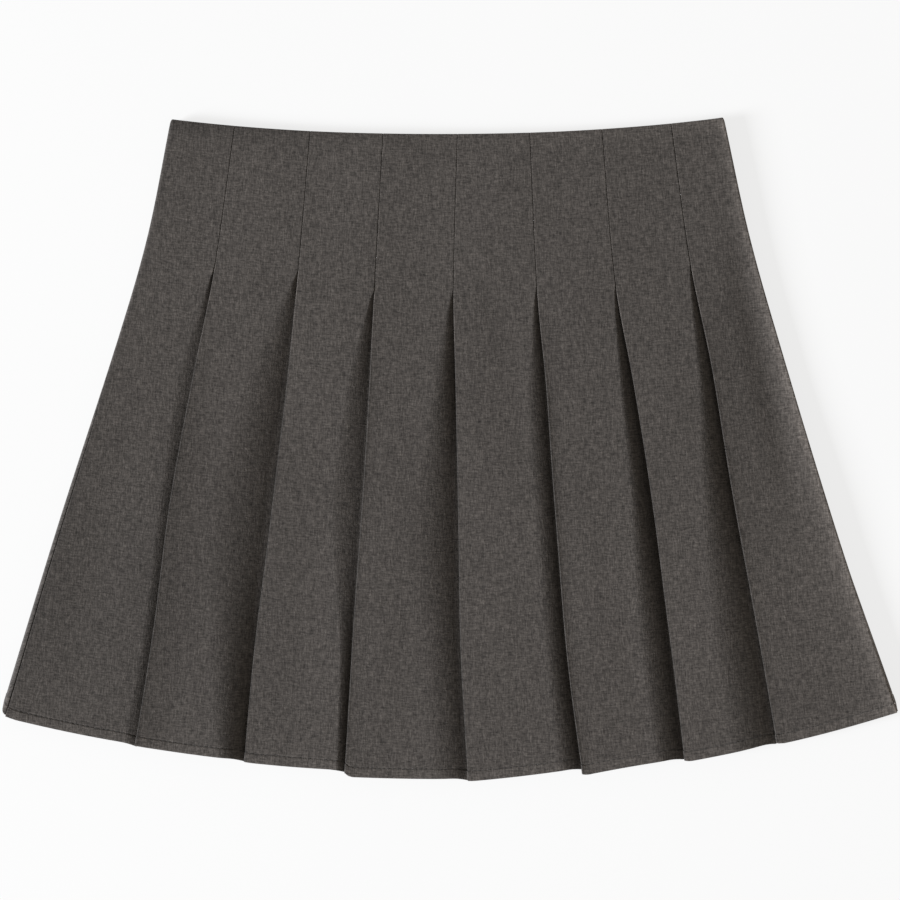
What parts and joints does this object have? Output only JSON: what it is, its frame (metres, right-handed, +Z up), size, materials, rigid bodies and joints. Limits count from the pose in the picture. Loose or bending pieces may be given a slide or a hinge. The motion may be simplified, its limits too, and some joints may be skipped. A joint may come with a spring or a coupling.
{
  "type": "pleated mini skirt",
  "caption": "A-line mini skirt of grey-brown suiting, knife pleated all round and stitched down over the hips, laid flat with its front up.",
  "frame": {"origin": "on the surface that the skirt lies on, under the middle of its outline", "axes": "+X across the skirt to the wearer's left, +Y from the hem to the waist, +Z up out of the front"},
  "size_m": [0.5376, 0.3978, 0.0132],
  "materials": {
    "suiting": "dry matte plain weave in dark grey-brown, with a fine slubbed melange"
  },
  "bodies": {
    "root": {"front": "suiting", "back": "suiting"}
  },
  "joints": []
}
